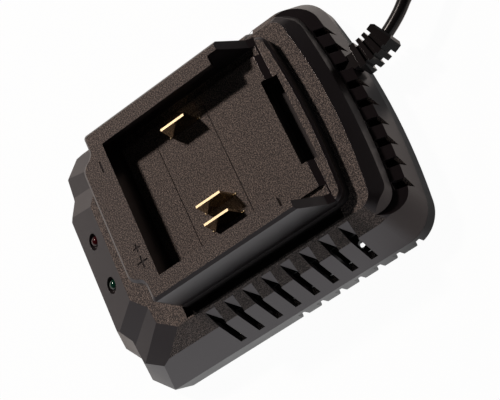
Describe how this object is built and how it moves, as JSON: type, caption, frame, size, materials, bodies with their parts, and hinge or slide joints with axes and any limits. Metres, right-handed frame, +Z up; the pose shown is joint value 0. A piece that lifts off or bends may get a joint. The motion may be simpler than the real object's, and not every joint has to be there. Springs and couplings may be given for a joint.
{
  "type": "power tool battery charger",
  "caption": "Power tool battery charger: a low vented housing with a raised slide-in battery well, contact blades, status lamps, and a coiled mains cord with its plug.",
  "frame": {"origin": "on the table under the middle of the housing, between the outer faces of its two halves; the boot, cord, coil, tie and plug don't count", "axes": "+X to the side with the positive blades, +Y from the lamp end to the cord end, +Z up"},
  "size_m": [0.1827, 0.2626, 0.06],
  "materials": {
    "housing_plastic": "fine texture, dark warm grey",
    "tray_plastic": "fine texture, dark warm grey",
    "deck_plastic": "fine texture, dark warm grey",
    "block_plastic": "fine texture, dark warm grey",
    "blade_brass": "bright, polished",
    "red_lens": "dark red, clear, unlit",
    "green_lens": "dark green, clear, unlit",
    "board_laminate": "green laminate",
    "steel": "zinc plated",
    "ferrite": "matt, dark grey",
    "bobbin_plastic": "black",
    "winding_tape": "yellow tape over copper wire",
    "capacitor_sleeve": "shrunk sleeve over aluminium",
    "choke_wire": "enamelled copper",
    "filter_box": "yellow moulded box",
    "fuse_glass": "clear tube with metal caps",
    "heat_sink_metal": "extruded",
    "device_case": "black moulded",
    "relay_case": "blue moulded",
    "terminal_plastic": "natural nylon",
    "lead_sleeve": "insulated wire",
    "foot_rubber": "matt",
    "boot_rubber": "satin black",
    "cord_sheath": "satin black sheath",
    "tie_plastic": "black strap",
    "plug_plastic": "satin black",
    "pin_metal": "nickel plated"
  },
  "bodies": {
    "root": {"upper_housing": "housing_plastic", "lower_housing": "tray_plastic", "battery_deck": "deck_plastic", "terminal_block": "block_plastic", "negative_blade": "blade_brass", "charge_blade": "blade_brass", "positive_blade": "blade_brass", "terminal_board": "board_laminate", "red_lamp": "red_lens", "green_lamp": "green_lens", "lamp_board": "board_laminate", "circuit_board": "board_laminate", "transformer_core": "ferrite", "transformer_bobbin": "bobbin_plastic", "transformer_winding": "winding_tape", "mains_capacitor": "capacitor_sleeve", "output_capacitors": "capacitor_sleeve", "line_choke": "choke_wire", "filter_capacitor": "filter_box", "fuse": "fuse_glass", "relay": "relay_case", "controller_chip": "device_case", "mains_terminal": "terminal_plastic", "heat_sink": "heat_sink_metal", "power_transistors": "device_case", "cord_clamp": "terminal_plastic", "rubber_feet": "foot_rubber", "strain_relief_boot": "boot_rubber", "inner_cord": "cord_sheath", "mains_cord": "cord_sheath", "cord_coil": "cord_sheath", "cord_tail": "cord_sheath", "cord_tie": "tie_plastic", "plug_body": "plug_plastic", "plug_pins": "pin_metal", "mains_leads": "lead_sleeve", "output_leads": "lead_sleeve", "lamp_leads": "lead_sleeve", "housing_screws": "steel", "deck_screws": "steel", "board_screws": "steel", "terminal_board_screws": "steel", "lamp_board_screws": "steel", "clamp_screws": "steel"}
  },
  "joints": []
}
